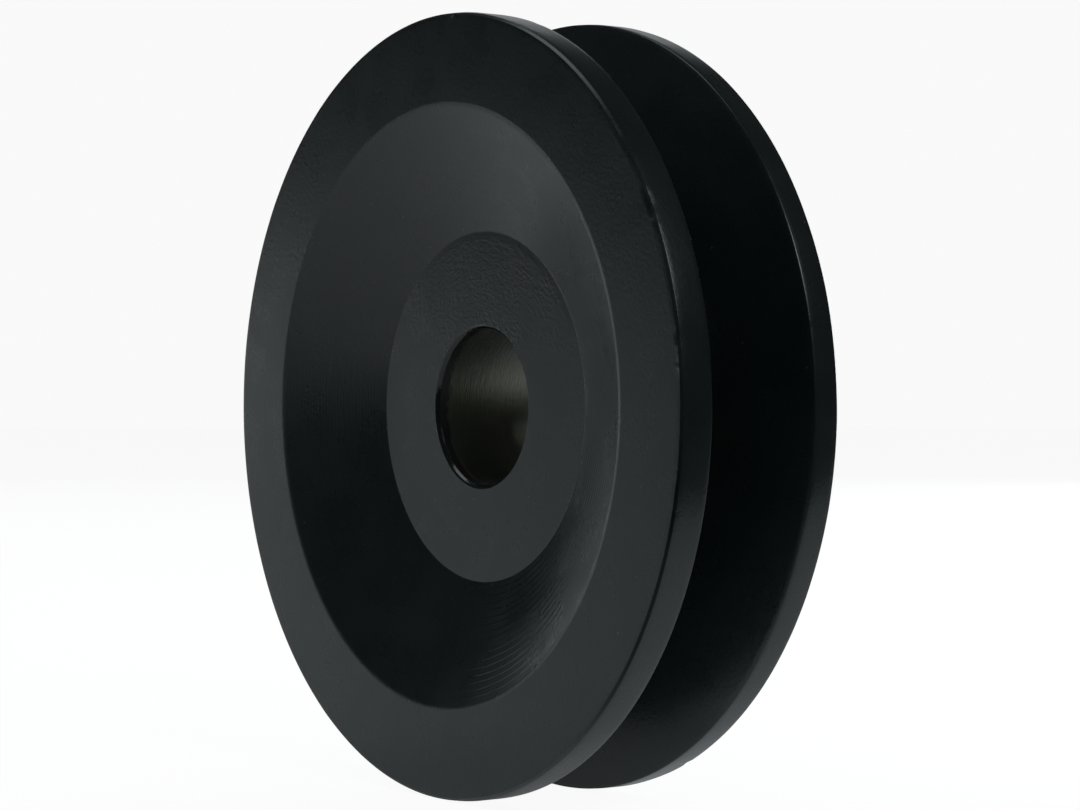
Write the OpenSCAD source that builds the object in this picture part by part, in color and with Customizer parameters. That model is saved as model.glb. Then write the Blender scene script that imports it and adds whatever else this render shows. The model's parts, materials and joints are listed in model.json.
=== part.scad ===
// Single-groove V-belt pulley, turned in one piece from steel.
// The axis lies along Y, the front faces -Y, and the groove's centre plane is y = 0.

/* [Rim] */
// Diameter over the rim
rim_dia = 84; // [80:1:100]
// Width from the front rim face to the rear rim face
rim_width = 20; // [19:0.5:24]
// Chamfer on the outer corner of each rim face
rim_chamfer = 0.35; // [0.1:0.05:0.5]

/* [Belt groove] */
// Width of the groove where it opens at the rim
groove_top = 13; // [12:0.5:14]
// Depth from the rim to the groove's floor
groove_depth = 13; // [10:0.5:13]
// Angle between the groove's two walls
groove_angle = 36; // [34:1:38]
// Width of the land in front of the groove
front_land = 3.8; // [2.8:0.1:4.5]
// Radius at the foot of each groove wall
groove_fillet = 1; // [0.5:0.1:1.5]
// Edge break where each groove wall meets its land
groove_break = 0.25; // [0.1:0.05:0.4]

/* [Front recess] */
// Diameter of the recess at the front rim face
recess_dia = 64.4; // [60:0.2:66]
// Diameter of the flat seat at the bottom of the recess
seat_dia = 38; // [34:0.5:42]
// Depth of the seat below the front rim face
recess_depth = 5.8; // [3:0.1:6.5]
// Radius of the rounded lip round the recess
recess_lip = 1.8; // [0.5:0.1:2.5]

/* [Rear relief] */
// Diameter of the relief at the rear rim face
relief_dia = 62; // [56:0.5:66]
// Diameter of the relief's flat floor
relief_floor_dia = 52; // [46:0.5:54]
// Depth of the relief below the rear rim face
relief_depth = 2.5; // [1:0.1:3.5]
// Radius of the rounded lip round the relief
relief_lip = 1.2; // [0.5:0.1:1.5]

/* [Hub] */
// Diameter of the rear hub boss
boss_dia = 34; // [30:0.5:40]
// Height of the boss above the rear rim face
boss_rise = 2; // [0.5:0.5:5]
// Chamfer on the corner of the boss
boss_chamfer = 0.5; // [0.2:0.1:1]
// Radius at the foot of the boss
boss_fillet = 0.8; // [0.3:0.1:1]
// Diameter of the shaft bore
bore_dia = 17; // [12:0.5:22]
// Chamfer at each mouth of the bore
bore_chamfer = 0.4; // [0.1:0.1:1]

/* [Hidden] */
$fn = 192;

// Segments in each small rounded corner of an outline
corner_steps = 6;
// How far a cutter reaches past the face that it cuts
past = 1;

rim_r = rim_dia / 2;
front_face = -groove_top / 2 - front_land;
rear_face = front_face + rim_width;
seat_face = front_face + recess_depth;
relief_face = rear_face - relief_depth;
boss_face = rear_face + boss_rise;

// A round corner: from angle a0 to a1 on a circle of radius r about the point c.
function arc(c, r, a0, a1) =
    [for (i = [0:corner_steps])
        let (a = a0 + (a1 - a0) * i / corner_steps)
        c + r * [cos(a), sin(a)]];

// A disc about the axis from height z0 to z1, with a chamfer on either outer corner.
module turned_disc(r, z0, z1, chamfer0 = 0, chamfer1 = 0) {
    rotate_extrude()
        polygon([
            [0, z0], [r - chamfer0, z0], [r, z0 + chamfer0],
            [r, z1 - chamfer1], [r - chamfer1, z1], [0, z1],
        ]);
}

// The turned blank: the rim's full disc, and the hub boss that stands behind it.
module blank() {
    turned_disc(rim_r, front_face, rear_face, rim_chamfer, rim_chamfer);
    turned_disc(boss_dia / 2, seat_face, boss_face, 0, boss_chamfer);
}

// The V groove, symmetric about z = 0, with a rounded foot to each wall.
module groove_cutter() {
    half_angle = groove_angle / 2;
    floor_r = rim_r - groove_depth;
    floor_half = groove_top / 2 - groove_depth * tan(half_angle);
    // The fillet circle touches the floor and the wall.
    foot = [floor_r + groove_fillet,
            floor_half - groove_fillet * tan(45 - half_angle / 2)];
    wall_top = groove_top / 2 - groove_break * tan(half_angle);
    front_half = concat(
        [[floor_r, 0]],
        arc(foot, groove_fillet, 180, 90 + half_angle),
        [[rim_r - groove_break, wall_top],
         [rim_r, groove_top / 2 + groove_break],
         [rim_r + past, groove_top / 2 + groove_break],
         [rim_r + past, 0]]);
    rotate_extrude()
        for (side = [0, 1])
            mirror([0, side, 0]) polygon(front_half);
}

// A dished recess that opens towards -z: a conical wall from a rounded lip down to a flat floor.
module dish_cutter(mouth_r, floor_r, depth, lip) {
    slope = atan(depth / (mouth_r - floor_r));
    // The lip circle lies inside the metal and touches the face and the conical wall.
    lip_centre = [mouth_r + lip * tan(slope / 2), lip];
    rotate_extrude()
        polygon(concat(
            [[0, depth], [floor_r, depth]],
            arc(lip_centre, lip, 270 - slope, 270),
            [[lip_centre[0], -past], [0, -past]]));
}

// The front recess, which gives the shaft nut its seat.
module front_recess() {
    translate([0, 0, front_face])
        dish_cutter(recess_dia / 2, seat_dia / 2, recess_depth, recess_lip);
}

// The ring-shaped relief between the rear rim face and the hub boss.
module rear_relief() {
    boss_r = boss_dia / 2;
    difference() {
        translate([0, 0, rear_face])
            mirror([0, 0, 1])
                dish_cutter(relief_dia / 2, relief_floor_dia / 2, relief_depth, relief_lip);
        rotate_extrude()
            polygon(concat(
                [[0, relief_face - past], [boss_r + boss_fillet, relief_face - past]],
                arc([boss_r + boss_fillet, relief_face + boss_fillet], boss_fillet, 270, 180),
                [[boss_r, boss_face + past], [0, boss_face + past]]));
    }
}

// The plain shaft bore with a chamfer at each mouth.
module shaft_bore() {
    r = bore_dia / 2;
    translate([0, 0, seat_face - past])
        cylinder(r = r, h = boss_face - seat_face + 2 * past);
    translate([0, 0, seat_face - past])
        cylinder(r1 = r + bore_chamfer + past, r2 = r, h = bore_chamfer + past);
    translate([0, 0, boss_face - bore_chamfer])
        cylinder(r1 = r, r2 = r + bore_chamfer + past, h = bore_chamfer + past);
}

// The whole pulley, turned from one blank.
module pulley() {
    color([0.10, 0.11, 0.12])
        rotate([-90, 0, 0])
            difference() {
                blank();
                groove_cutter();
                front_recess();
                rear_relief();
                shaft_bore();
            }
}

pulley();
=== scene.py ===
import json
import math
import bmesh
import bpy
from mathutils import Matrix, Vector, noise


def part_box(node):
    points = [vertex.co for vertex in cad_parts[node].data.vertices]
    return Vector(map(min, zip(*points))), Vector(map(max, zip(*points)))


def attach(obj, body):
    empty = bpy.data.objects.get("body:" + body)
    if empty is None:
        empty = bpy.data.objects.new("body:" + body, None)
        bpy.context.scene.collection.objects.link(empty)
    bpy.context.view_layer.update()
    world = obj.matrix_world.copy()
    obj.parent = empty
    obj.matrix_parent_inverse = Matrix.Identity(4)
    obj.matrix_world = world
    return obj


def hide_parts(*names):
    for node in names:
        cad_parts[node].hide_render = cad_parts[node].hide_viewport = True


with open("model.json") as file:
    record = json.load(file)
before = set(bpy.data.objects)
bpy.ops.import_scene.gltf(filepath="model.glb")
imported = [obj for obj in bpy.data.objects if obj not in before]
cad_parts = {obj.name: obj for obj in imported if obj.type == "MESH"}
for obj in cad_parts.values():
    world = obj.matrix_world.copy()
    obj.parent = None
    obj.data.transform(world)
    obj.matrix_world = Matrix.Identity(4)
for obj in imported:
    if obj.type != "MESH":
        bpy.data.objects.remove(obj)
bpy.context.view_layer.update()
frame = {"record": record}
mm = 0.001

# The camera stands in front of the pulley and to its right, level with the shaft's axis. A long lens
# takes it from about seven rim radii away, with the pulley a little left of the middle of the frame.
low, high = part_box("pulley")
rim_radius = high.z
front_face = low.y
camera_azimuth = math.radians(54.3)
# How far the camera stands from the front face's centre, in rim radii.
aside = 0.2646
away = 6.996
above = 0.0043
camera_right = Vector((math.cos(camera_azimuth), math.sin(camera_azimuth), 0))
camera_ahead = Vector((-math.sin(camera_azimuth), math.cos(camera_azimuth), 0))
up = Vector((0, 0, 1))
front_centre = Vector((0, front_face, 0))
bpy.ops.object.camera_add(
    location=front_centre + rim_radius * (aside * camera_right - away * camera_ahead + above * up),
    rotation=(math.radians(90), 0, camera_azimuth),
)
camera = bpy.context.object
camera.name = "camera"
camera.data.sensor_width = 36
camera.data.lens = 91.57
camera.data.clip_start = 0.01
camera.data.clip_end = 10
bpy.context.scene.camera = camera

# The pulley is one piece of steel, turned on a lathe from a round blank: the front is dished round the
# shaft nut's seat, the rim carries one V groove, and a short boss stands at the rear. Its outline is
# drawn on one side of the axis, its corners are rounded as the tool leaves them, and it is spun round.
mounts = {mount["name"]: mount for mount in frame["record"]["mounts"]}
bore_radius = mounts["shaft_bore"]["dims"]["r_mm"] * mm
seat_face = mounts["nut_seat"]["pos_m"][1]
boss_face = mounts["rear_hub_face"]["pos_m"][1]
rim_width = 20 * mm
rear_face = front_face + rim_width
bore_chamfer = 0.4 * mm
seat_radius = 19 * mm
recess_radius = 32.2 * mm
rim_chamfer = 0.3 * mm
groove_half_width = 6.5 * mm
groove_bottom_radius = 29 * mm
groove_bottom_half_width = 2.276 * mm
relief_radius = 31 * mm
relief_floor_radius = 26 * mm
relief_face = rear_face - 2.5 * mm
boss_radius = 17 * mm
boss_chamfer = 0.5 * mm
steps_round = 660

# Each corner of the outline: its distance from the axis, its place along the axis, its corner radius.
# A point with no corner radius keeps the wear of an edge from spreading over the face beside it.
beside = 0.6 * mm
groove_depth = rim_radius - groove_bottom_radius
groove_taper = groove_half_width - groove_bottom_half_width
down_the_wall = beside / math.hypot(groove_depth, groove_taper)
wall_radius = rim_radius - down_the_wall * groove_depth
wall_half_width = groove_half_width - down_the_wall * groove_taper
outline = [
    (bore_radius + 0.2 * mm, seat_face + 0.14 * mm, 0.06 * mm),
    (bore_radius + bore_chamfer, seat_face, 0.08 * mm),
    (seat_radius, seat_face, 0.5 * mm),
    (recess_radius, front_face, 1.8 * mm),
    (rim_radius - rim_chamfer - beside, front_face, 0),
    (rim_radius - rim_chamfer, front_face, 0.08 * mm),
    (rim_radius, front_face + rim_chamfer, 0.14 * mm),
    (rim_radius, front_face + rim_chamfer + beside, 0),
    (rim_radius, -groove_half_width - beside, 0),
    (rim_radius, -groove_half_width, 0.2 * mm),
    (wall_radius, -wall_half_width, 0),
    (groove_bottom_radius, -groove_bottom_half_width, 1 * mm),
    (groove_bottom_radius, groove_bottom_half_width, 1 * mm),
    (wall_radius, wall_half_width, 0),
    (rim_radius, groove_half_width, 0.2 * mm),
    (rim_radius, groove_half_width + beside, 0),
    (rim_radius, rear_face - rim_chamfer - beside, 0),
    (rim_radius, rear_face - rim_chamfer, 0.14 * mm),
    (rim_radius - rim_chamfer, rear_face, 0.08 * mm),
    (rim_radius - rim_chamfer - beside, rear_face, 0),
    (relief_radius, rear_face, 1.2 * mm),
    (relief_floor_radius, relief_face, 0.5 * mm),
    (boss_radius, relief_face, 0.8 * mm),
    (boss_radius, boss_face - boss_chamfer, 0.1 * mm),
    (boss_radius - boss_chamfer, boss_face, 0.1 * mm),
    (bore_radius + bore_chamfer, boss_face, 0.08 * mm),
    (bore_radius, boss_face - bore_chamfer, 0.08 * mm),
    (bore_radius, seat_face + bore_chamfer, 0.08 * mm),
]

bpy.ops.object.select_all(action="DESELECT")
bpy.ops.mesh.primitive_plane_add(size=mm)
pulley = bpy.context.object
pulley.name = "pulley_body"
bpy.ops.object.mode_set(mode="EDIT")
bpy.ops.mesh.select_all(action="SELECT")
bpy.ops.mesh.merge(type="CENTER")
pen = Vector((0, 0, 0))
for radius, along, _ in outline:
    corner = Vector((radius, along, 0))
    if pen.length == 0:
        bpy.ops.transform.translate(value=corner)
    else:
        bpy.ops.mesh.extrude_region_move(TRANSFORM_OT_translate={"value": corner - pen})
    pen = corner


def pick_points(piece, wanted):
    """Leaves only the edited piece's points whose place is wanted selected, with the faces they make up."""
    bpy.ops.mesh.select_all(action="DESELECT")
    shape = bmesh.from_edit_mesh(piece.data)
    for point in shape.verts:
        point.select_set(wanted(point.co))
    shape.select_flush(True)
    bmesh.update_edit_mesh(piece.data)


def pick_corners(piece, places):
    """Leaves only the corner points of the edited piece that lie at these places selected."""
    pick_points(piece, lambda spot: min((spot - place).length for place in places) < 0.001 * mm)


pick_corners(pulley, [Vector((*outline[0][:2], 0)), Vector((*outline[-1][:2], 0))])
bpy.ops.mesh.edge_face_add()
for before, corner, after in zip(outline[-1:] + outline[:-1], outline, outline[1:] + outline[:1]):
    if corner[2] == 0:
        continue
    place = Vector((*corner[:2], 0))
    arriving = place - Vector((*before[:2], 0))
    leaving = Vector((*after[:2], 0)) - place
    pick_corners(pulley, [place])
    bpy.ops.mesh.bevel(
        offset=corner[2] * math.tan(arriving.angle(leaving) / 2),
        offset_type="OFFSET",
        segments=4,
        affect="VERTICES",
    )
bpy.ops.mesh.select_all(action="SELECT")
bpy.ops.mesh.spin(steps=steps_round, angle=math.tau, center=(0, 0, 0), axis=(0, 1, 0), use_auto_merge=True)
bpy.ops.mesh.select_all(action="SELECT")
bpy.ops.mesh.remove_doubles(threshold=0.0001 * mm)
bpy.ops.mesh.normals_make_consistent(inside=False)
bpy.ops.object.mode_set(mode="OBJECT")


def wear_edge(piece, radius, along, depth, unevenness, nicks):
    """Files the sharp edge at this radius and place along the axis down, unevenly on its way round.

    Each nick is its angle from +X up towards +Z and its half-width, both in degrees, and its part of
    the depth, less than nothing where the coating fills the chamfer instead."""
    reach = 0.5 * mm
    usual_part = 0.45
    long_waves = 5
    short_waves = 17
    worn = piece.vertex_groups.new(name="worn")
    for point in piece.data.vertices:
        x, y, z = point.co
        if math.hypot(math.hypot(x, z) - radius, y - along) > reach:
            continue
        turn = math.atan2(z, x)
        swing = Vector((math.cos(turn), math.sin(turn), 0))
        wave = noise.noise(swing * long_waves) + 0.3 * noise.noise(swing * short_waves)
        part = usual_part + unevenness * wave
        for angle, half_width, bite in nicks:
            part += bite * math.exp(-(((math.degrees(turn) - angle) / half_width) ** 4))
        worn.add([point.index], min(max(part, 0), 1), "REPLACE")
    bpy.ops.object.modifier_add(type="DISPLACE")
    file = piece.modifiers[-1]
    file.vertex_group = worn.name
    file.direction = "NORMAL"
    file.mid_level = 0
    file.strength = -depth
    bpy.ops.object.modifier_apply(modifier=file.name)
    piece.vertex_groups.clear()


front_nicks = [
    (37.5, 2.8, -0.35),
    (28.3, 1.5, 0.5),
    (24.6, 0.5, -0.2),
    (9, 0.8, 0.15),
    (-9, 0.6, 0.12),
    (-11.5, 0.7, -0.12),
    (-14, 0.6, 0.12),
    (-31, 0.8, 0.15),
    (-52, 1, 0.2),
]
rear_groove_nicks = [(32.5, 1, 0.5), (10.4, 0.6, 1), (-36, 1.5, 0.5)]
front_groove_nicks = [(71, 1, 0.5), (17, 0.8, 0.8)]
rear_nicks = [(112, 1.2, 0.5), (-64, 0.8, 0.4), (160, 1, -0.4)]
wear_edge(pulley, rim_radius, front_face, 0.18 * mm, 0.1, front_nicks)
wear_edge(pulley, rim_radius, groove_half_width, 0.05 * mm, 0.4, rear_groove_nicks)
wear_edge(pulley, rim_radius, -groove_half_width, 0.04 * mm, 0.4, front_groove_nicks)
wear_edge(pulley, rim_radius, rear_face, 0.18 * mm, 0.2, rear_nicks)


# The coating is a thin black oxide and oil finish over the turned steel. The tool's rings show through
# it, most of all in the dish, and it has a faint grain of its own.
def new_group(name, inputs, outputs):
    """A shader node group with float inputs and outputs, its group input and its group output nodes."""
    group = bpy.data.node_groups.new(name, "ShaderNodeTree")
    for label, value in inputs.items():
        socket = group.interface.new_socket(label, in_out="INPUT", socket_type="NodeSocketFloat")
        socket.default_value = value
    for label in outputs:
        group.interface.new_socket(label, in_out="OUTPUT", socket_type="NodeSocketFloat")
    return group, group.nodes.new("NodeGroupInput"), group.nodes.new("NodeGroupOutput")


def add(tree, kind, *sources, **settings):
    """Adds a node with these settings, and joins or sets its inputs from the first one on."""
    node = tree.nodes.new(kind)
    for name, value in settings.items():
        setattr(node, name, value)
    for socket, source in zip(node.inputs, sources):
        if isinstance(source, bpy.types.NodeSocket):
            tree.links.new(source, socket)
        elif source is not None:
            socket.default_value = source
    return node


def sums(tree, operation, *sources):
    """The output of a Math node."""
    return add(tree, "ShaderNodeMath", *sources, operation=operation).outputs[0]


# How far a point is from the axis and where it is round it: every pattern of the lathe follows these.
around, _, around_out = new_group("place_on_lathe", {}, ["Radius", "Along", "Round X", "Round Z"])
spot = add(around, "ShaderNodeSeparateXYZ", add(around, "ShaderNodeTexCoord").outputs["Object"])
squares = [sums(around, "MULTIPLY", spot.outputs[axis], spot.outputs[axis]) for axis in "XZ"]
across = sums(around, "SQRT", sums(around, "ADD", *squares))
around.links.new(across, around_out.inputs["Radius"])
around.links.new(spot.outputs["Y"], around_out.inputs["Along"])
around.links.new(sums(around, "DIVIDE", spot.outputs["X"], across), around_out.inputs["Round X"])
around.links.new(sums(around, "DIVIDE", spot.outputs["Z"], across), around_out.inputs["Round Z"])

# How far out a point lies along the outline, in metres. It is exact on the dish's slope.
dish_slope = Vector((recess_radius - seat_radius, seat_face - front_face)).normalized()
path, _, path_out = new_group("along_outline", {}, ["Travel", "Round X", "Round Z"])
place = add(path, "ShaderNodeGroup", node_tree=around)
outward = sums(path, "MULTIPLY", place.outputs["Radius"], dish_slope.x)
travel = sums(path, "MULTIPLY_ADD", sums(path, "ABSOLUTE", place.outputs["Along"]), dish_slope.y, outward)
path.links.new(travel, path_out.inputs["Travel"])
path.links.new(place.outputs["Round X"], path_out.inputs["Round X"])
path.links.new(place.outputs["Round Z"], path_out.inputs["Round Z"])

# Short marks that follow the tool round. Spacing is the distance between marks in metres, Run says how
# often they change on the way round, and Height comes out from 0 to 1.
marks, marks_in, marks_out = new_group("tool_marks", {"Spacing": 0.4 * mm, "Run": 3.0}, ["Height"])
place = add(marks, "ShaderNodeGroup", node_tree=path)
mark = add(
    marks,
    "ShaderNodeCombineXYZ",
    sums(marks, "DIVIDE", place.outputs["Travel"], marks_in.outputs["Spacing"]),
    sums(marks, "MULTIPLY", place.outputs["Round X"], marks_in.outputs["Run"]),
    sums(marks, "MULTIPLY", place.outputs["Round Z"], marks_in.outputs["Run"]),
)
cut = add(marks, "ShaderNodeTexNoise", mark.outputs[0])
cut.inputs["Scale"].default_value = 1
cut.inputs["Detail"].default_value = 2
cut.inputs["Roughness"].default_value = 0.6
marks.links.new(cut.outputs["Fac"], marks_out.inputs["Height"])

# Even rings that the tool leaves at its feed. Spacing is the feed in metres, Wobble is how far a ring
# strays from its place, as a part of the feed, and Height comes out from -1 to 1.
rings, rings_in, rings_out = new_group("feed_rings", {"Spacing": 0.4 * mm, "Wobble": 0.6}, ["Height"])
place = add(rings, "ShaderNodeGroup", node_tree=path)
stray = add(rings, "ShaderNodeGroup", node_tree=marks)
stray.inputs["Spacing"].default_value = 1.5 * mm
stray.inputs["Run"].default_value = 5
phase = sums(
    rings,
    "ADD",
    sums(rings, "DIVIDE", place.outputs["Travel"], rings_in.outputs["Spacing"]),
    sums(rings, "MULTIPLY", stray.outputs["Height"], rings_in.outputs["Wobble"]),
)
rings.links.new(sums(rings, "SINE", sums(rings, "MULTIPLY", phase, math.tau)), rings_out.inputs["Height"])

# A fine even grain or a soft cloud, from 0 to 1, whose lumps are Size metres across.
grain, grain_in, grain_out = new_group("grain", {"Size": 0.6 * mm, "Detail": 2.0}, ["Height"])
lumps = add(grain, "ShaderNodeTexNoise", add(grain, "ShaderNodeTexCoord").outputs["Object"])
grain.links.new(sums(grain, "DIVIDE", 1, grain_in.outputs["Size"]), lumps.inputs["Scale"])
grain.links.new(grain_in.outputs["Detail"], lumps.inputs["Detail"])
grain.links.new(lumps.outputs["Fac"], grain_out.inputs["Height"])

# Single specks of dust, each up to Size metres across and about Gap metres from the next, as 0 or 1.
dust, dust_in, dust_out = new_group("dust", {"Size": 0.15 * mm, "Gap": 4 * mm}, ["Speck"])
cells = add(dust, "ShaderNodeTexVoronoi", add(dust, "ShaderNodeTexCoord").outputs["Object"])
dust.links.new(sums(dust, "DIVIDE", 1, dust_in.outputs["Gap"]), cells.inputs["Scale"])
reach = sums(dust, "MULTIPLY", cells.outputs["Distance"], dust_in.outputs["Gap"])
half_size = sums(dust, "MULTIPLY", dust_in.outputs["Size"], 0.5)
dust.links.new(sums(dust, "LESS_THAN", reach, half_size), dust_out.inputs["Speck"])


def effect(tree, group, **values):
    """Places a shared effect in a material with the material's own values."""
    node = add(tree, "ShaderNodeGroup", node_tree=group)
    for label, value in values.items():
        node.inputs[label].default_value = value
    return node


def spread(tree, source, low_in, high_in, low_out, high_out):
    """Takes a value from one range to another, smoothly and without going past the ends."""
    node = add(tree, "ShaderNodeMapRange", source, low_in, high_in, low_out, high_out)
    node.interpolation_type = "SMOOTHSTEP"
    return node.outputs[0]


def blend(tree, factor, first, second):
    """Mixes two colours. They are sockets 6 and 7 of a Mix node, and socket 2 gives the result."""
    node = add(tree, "ShaderNodeMix", factor, data_type="RGBA")
    for number, colour in [(6, first), (7, second)]:
        if isinstance(colour, bpy.types.NodeSocket):
            tree.links.new(colour, node.inputs[number])
        else:
            node.inputs[number].default_value = (*colour, 1)
    return node.outputs[2]


def emboss(tree, shader, height):
    """Gives the shader a relief of this height, in metres."""
    bump = add(tree, "ShaderNodeBump")
    bump.inputs["Distance"].default_value = 1
    tree.links.new(height, bump.inputs["Height"])
    tree.links.new(bump.outputs["Normal"], shader.inputs["Normal"])


coating = bpy.data.materials.new("black_coating")
coating.use_nodes = True
tree = coating.node_tree
shader = tree.nodes["Principled BSDF"]
shader.inputs["IOR"].default_value = 1.5
where = effect(tree, around).outputs
in_dish = sums(
    tree,
    "MULTIPLY",
    spread(tree, where["Radius"], seat_radius - 0.5 * mm, seat_radius + 0.5 * mm, 0, 1),
    spread(tree, where["Radius"], recess_radius - 1 * mm, recess_radius, 1, 0.05),
)
# The rings show most at the lower right of the dish near the seat, more finely at its left side, and in
# patches elsewhere.
right_less_up = sums(tree, "SUBTRACT", where["Round X"], where["Round Z"])
lower_right = sums(tree, "MULTIPLY", right_less_up, math.sqrt(0.5))
patches = effect(tree, grain, Size=7 * mm, Detail=1).outputs["Height"]
shown = sums(
    tree,
    "MULTIPLY_ADD",
    spread(tree, lower_right, 0.62, 0.95, 0, 1.2),
    spread(tree, patches, 0.4, 0.65, 0.5, 1),
    spread(tree, patches, 0.4, 0.7, 0.08, 0.25),
)
near_seat = spread(tree, where["Radius"], seat_radius + 5 * mm, recess_radius, 1.3, 0.5)
shown = sums(tree, "MULTIPLY", shown, near_seat)
finer = sums(tree, "MULTIPLY_ADD", shown, 0.5, spread(tree, where["Round X"], -0.9, -0.4, 0.35, 0.05))
feed_spacing = 0.84 * mm
feed = effect(tree, rings, Spacing=feed_spacing, Wobble=0.35).outputs["Height"]
half_feed = effect(tree, rings, Spacing=feed_spacing / 2, Wobble=0.7).outputs["Height"]
both_feeds = sums(tree, "MULTIPLY_ADD", half_feed, finer, sums(tree, "MULTIPLY", feed, shown))
ring_depth = 0.011 * mm
ring_height = sums(tree, "MULTIPLY", both_feeds, sums(tree, "MULTIPLY", in_dish, ring_depth))
# The top of the nut seat keeps short marks from the tool.
top_of_seat = sums(
    tree,
    "MULTIPLY",
    spread(tree, where["Radius"], seat_radius - 1 * mm, seat_radius, 1, 0),
    spread(tree, where["Round Z"], 0.2, 0.8, 0.06, 1),
)
short = effect(tree, marks, Spacing=0.3 * mm, Run=20).outputs["Height"]
short_depth = 0.028 * mm
seat_height = sums(tree, "MULTIPLY", short, sums(tree, "MULTIPLY", top_of_seat, short_depth))
# The whole coating has a soft mottle like orange peel and a finer grain.
peel_depth = 0.014 * mm
fine_depth = 0.004 * mm
peel = sums(tree, "MULTIPLY", effect(tree, grain, Size=0.45 * mm, Detail=1).outputs["Height"], peel_depth)
fine = sums(tree, "MULTIPLY", effect(tree, grain, Size=0.2 * mm, Detail=1).outputs["Height"], fine_depth)
tool_height = sums(tree, "ADD", ring_height, seat_height)
emboss(tree, shader, sums(tree, "ADD", tool_height, sums(tree, "ADD", peel, fine)))
# Painted shade dims the lower right of the rim's front edge: on so dark a colour, Metallic takes its shine
# away.
front_edge = sums(
    tree,
    "MULTIPLY",
    spread(tree, where["Radius"], rim_radius - 0.45 * mm, rim_radius - 0.3 * mm, 0, 1),
    spread(tree, where["Along"], front_face + 0.25 * mm, front_face + 0.4 * mm, 1, 0),
)
right_edge = sums(tree, "MULTIPLY", front_edge, spread(tree, where["Round X"], 0.5, 0.75, 0, 1))
shaded_edge = sums(tree, "MULTIPLY", right_edge, spread(tree, where["Round Z"], -0.43, 0.1, 1, 0))
painted_edge_shade = sums(tree, "MULTIPLY", shaded_edge, spread(tree, where["Round Z"], -0.8, -0.45, 0.5, 1))
tree.links.new(spread(tree, painted_edge_shade, 0, 1, 0, 0.8), shader.inputs["Metallic"])
# The coating is satin, and polished where the tool cut the mouth of the bore.
cloud = effect(tree, grain, Size=5 * mm, Detail=3).outputs["Height"]
satin = spread(tree, cloud, 0.3, 0.7, 0.26, 0.31)
mouth = spread(tree, where["Radius"], bore_radius + 0.42 * mm, bore_radius + 0.5 * mm, 0.45, 1)
tree.links.new(sums(tree, "MULTIPLY", satin, mouth), shader.inputs["Roughness"])
# Its black varies a little, and specks of pale dust lie on it.
darker_black = (0.0062, 0.0105, 0.0105)
lighter_black = (0.0082, 0.0125, 0.0125)
pale_dust = (0.06, 0.065, 0.06)
black = blend(tree, spread(tree, patches, 0.3, 0.7, 0, 1), darker_black, lighter_black)
speck = effect(tree, dust, Size=0.22 * mm, Gap=3.5 * mm).outputs["Speck"]
tree.links.new(blend(tree, speck, black, pale_dust), shader.inputs["Base Color"])
pulley.data.materials.append(coating)

# The wall of the bore is reamed after the coating, so it is bare steel, browned by oil, with scratches
# round it from the reamer and a ragged edge of coating just inside the front mouth. Over its top the
# coating's near-black is laid as painted shade.
steel = bpy.data.materials.new("bare_bore_steel")
steel.use_nodes = True
tree = steel.node_tree
shader = tree.nodes["Principled BSDF"]
where = effect(tree, around).outputs
ragged = effect(tree, grain, Size=1.1 * mm, Detail=3).outputs["Height"]
inside_edge = sums(tree, "SUBTRACT", seat_face + 1.1 * mm, where["Along"])
edge = sums(tree, "MULTIPLY_ADD", ragged, 1.2 * mm, inside_edge)
# Painted shade: the top of the wall takes the coating's near-black.
painted_top_shade = spread(tree, where["Round Z"], 0.25, 0.8, 0, 0.55)
coating_and_shade = sums(tree, "MAXIMUM", spread(tree, edge, 0, 0.5 * mm, 0, 1), painted_top_shade)
coarse = effect(tree, marks, Spacing=0.12 * mm, Run=3).outputs["Height"]
close = effect(tree, marks, Spacing=0.05 * mm, Run=8).outputs["Height"]
scratches = sums(tree, "MULTIPLY", sums(tree, "ADD", coarse, close), 0.5)
stain = effect(tree, grain, Size=4 * mm, Detail=3).outputs["Height"]
# Oil lies darker in the scratches. Towards the mouth and at the bore's rear end below, the same dark oily
# colour is painted shade that dims the wall's reflection.
shade_by_mouth = spread(tree, where["Along"], seat_face + 4 * mm, seat_face + 11 * mm, 1, 0)
by_rear = spread(tree, where["Along"], seat_face + 7 * mm, seat_face + 11 * mm, 0, 1)
below = sums(tree, "MULTIPLY", by_rear, spread(tree, where["Round Z"], -0.15, 0.1, 1, 0))
in_scratches = spread(tree, scratches, 0.42, 0.56, 0.7, 0)
oil_and_shade = sums(tree, "MAXIMUM", sums(tree, "MAXIMUM", shade_by_mouth, in_scratches), below)
brown_steel = (0.185, 0.183, 0.152)
olive_steel = (0.18, 0.195, 0.145)
oily_shaded_steel = (0.118, 0.124, 0.098)
coating_and_shade_black = (0.006, 0.006, 0.005)
wall = blend(tree, spread(tree, stain, 0.35, 0.65, 0, 1), brown_steel, olive_steel)
oiled_and_shaded = blend(tree, oil_and_shade, wall, oily_shaded_steel)
tree.links.new(blend(tree, coating_and_shade, oiled_and_shaded, coating_and_shade_black), shader.inputs["Base Color"])
tree.links.new(sums(tree, "SUBTRACT", 1, coating_and_shade), shader.inputs["Metallic"])
tree.links.new(spread(tree, scratches, 0.35, 0.65, 0.36, 0.5), shader.inputs["Roughness"])
scratch_depth = 0.05 * mm
emboss(tree, shader, sums(tree, "MULTIPLY", scratches, scratch_depth))
pulley.data.materials.append(steel)

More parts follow.
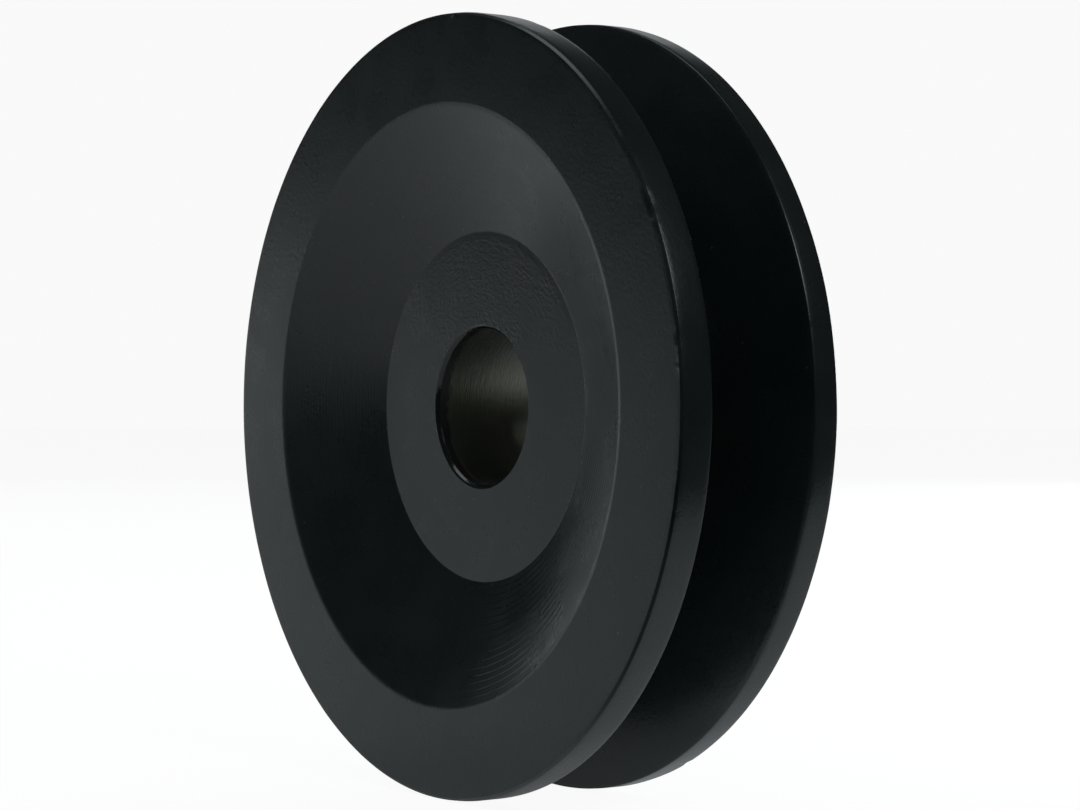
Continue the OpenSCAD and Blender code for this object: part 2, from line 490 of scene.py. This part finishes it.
# The steel goes on the bore's wall alone, and the coating stays on the rest.
bpy.ops.object.mode_set(mode="EDIT")
pick_points(pulley, lambda spot: math.hypot(spot.x, spot.z) < bore_radius + 0.02 * mm)
pulley.active_material_index = 1
bpy.ops.object.material_slot_assign()
bpy.ops.object.mode_set(mode="OBJECT")
bpy.ops.object.shade_smooth_by_angle(angle=math.radians(30))
bpy.ops.object.modifier_add(type="WEIGHTED_NORMAL")
pulley.modifiers[-1].keep_sharp = True
bpy.ops.object.modifier_apply(modifier=pulley.modifiers[-1].name)

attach(pulley, "root")
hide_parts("pulley")

# The pulley stands near the front edge of a white table, in a dark room. The table runs away to the left
# and behind. Its front edge passes in front of the pulley, aslant to the camera.
table_turn = camera_azimuth + math.radians(20.7)
table_back = Vector((-math.sin(table_turn), math.cos(table_turn), 0))
table_front = 0.085
table_size = 5
bpy.ops.object.select_all(action="DESELECT")
bpy.ops.mesh.primitive_plane_add(
    size=table_size,
    location=table_back * (table_size / 2 - table_front) - up * rim_radius,
    rotation=(0, 0, table_turn),
)
table = bpy.context.object
table.name = "table_top"
bpy.ops.object.transform_apply()
white = bpy.data.materials.new("white_table")
white.use_nodes = True
tree = white.node_tree
matt = tree.nodes["Principled BSDF"]
matt.inputs["Base Color"].default_value = (0.8, 0.8, 0.8, 1)
matt.inputs["Roughness"].default_value = 0.9
# By the pulley's foot it glows, like a light table, into the lower side of the rim.
glow_centre = (0.025, 0.028, -rim_radius)
place = add(tree, "ShaderNodeTexCoord").outputs["Object"]
from_centre = add(tree, "ShaderNodeVectorMath", place, glow_centre, operation="DISTANCE").outputs["Value"]
glow = spread(tree, from_centre, 0.02, 0.075, 0.24, 0)
cool_white = (0.9, 0.965, 1)
matt.inputs["Emission Color"].default_value = (*cool_white, 1)
tree.links.new(glow, matt.inputs["Emission Strength"])
# To the camera the table is as white as the room's back wall, with a faint shadow where the rim stands.
bright = add(tree, "ShaderNodeBsdfPrincipled")
bright.inputs["Base Color"].default_value = (0.05, 0.05, 0.05, 1)
bright.inputs["Roughness"].default_value = 0.9
bright.inputs["Emission Color"].default_value = (1, 1, 1, 1)
bright.inputs["Emission Strength"].default_value = 0.935
seen = add(tree, "ShaderNodeMixShader", add(tree, "ShaderNodeLightPath").outputs["Is Camera Ray"])
tree.links.new(matt.outputs[0], seen.inputs[1])
tree.links.new(bright.outputs[0], seen.inputs[2])
tree.links.new(seen.outputs[0], tree.nodes["Material Output"].inputs["Surface"])
table.data.materials.append(white)


# Large soft boxes light it. Each is given by its direction from the pulley, its distance, its size and
# the brightness of its face.
def soft_box(name, azimuth, elevation, distance, width, height, brightness):
    """A soft box that faces the pulley."""
    turn = math.radians(azimuth)
    rise = math.radians(elevation)
    outward = Vector((math.cos(turn) * math.cos(rise), math.sin(turn) * math.cos(rise), math.sin(rise)))
    bpy.ops.object.light_add(type="AREA", location=outward * distance)
    box = bpy.context.object
    box.name = name
    box.rotation_euler = outward.to_track_quat("Z", "Y").to_euler()
    box.data.shape = "RECTANGLE"
    box.data.color = cool_white
    box.data.size = width
    box.data.size_y = height
    # A lit face of one square metre gives pi watts for each unit of brightness.
    box.data.energy = brightness * width * height * math.pi
    box.visible_camera = False
    return box


soft_box("key", 5, 38, 1.2, 0.8, 0.4, 4.8)
soft_box("key_fill", -30, 38, 1.2, 0.4, 0.4, 1.3)
soft_box("left_high", -135, 62, 1.5, 0.8, 0.8, 1.6)
soft_box("left_low", -160, 1.5, 1.5, 0.5, 0.13, 1.2)
soft_box("left_far", -142, 1.5, 1.5, 0.45, 0.13, 0.5)
soft_box("side", 178, 10, 1.2, 0.3, 0.45, 1.45)
soft_box("rear_high", 140, 26, 1.2, 0.4, 0.35, 0.7)
soft_box("rear_low", 110, 10, 1.2, 0.7, 0.4, 4.5)
# Two lamps hang over the table, to the left and close behind. Nothing mirrors them, so they light the
# table and hardly touch the black pulley.
for name, azimuth, distance, width, brightness in [
    ("lamp_left", -145, 0.8, 0.3, 5.6),
    ("lamp_behind", 110, 0.5, 0.25, 2.5),
]:
    lamp = soft_box(name, azimuth, 50, distance, width, width, brightness)
    lamp.rotation_euler = (0, 0, 0)
    lamp.visible_glossy = False

# The room round them is nearly dark, but to the camera its back wall is white.
world = bpy.data.worlds.new("studio")
bpy.context.scene.world = world
world.use_nodes = True
tree = world.node_tree
room = tree.nodes["Background"]
room.inputs["Color"].default_value = (1, 1, 1, 1)
room.inputs["Strength"].default_value = 0.03
back_wall = add(tree, "ShaderNodeBackground")
back_wall.inputs["Color"].default_value = (1, 1, 1, 1)
back_wall.inputs["Strength"].default_value = 0.95
seen = add(tree, "ShaderNodeMixShader", add(tree, "ShaderNodeLightPath").outputs["Is Camera Ray"])
tree.links.new(room.outputs[0], seen.inputs[1])
tree.links.new(back_wall.outputs[0], seen.inputs[2])
tree.links.new(seen.outputs[0], tree.nodes["World Output"].inputs["Surface"])
bpy.context.scene.view_settings.view_transform = "Standard"
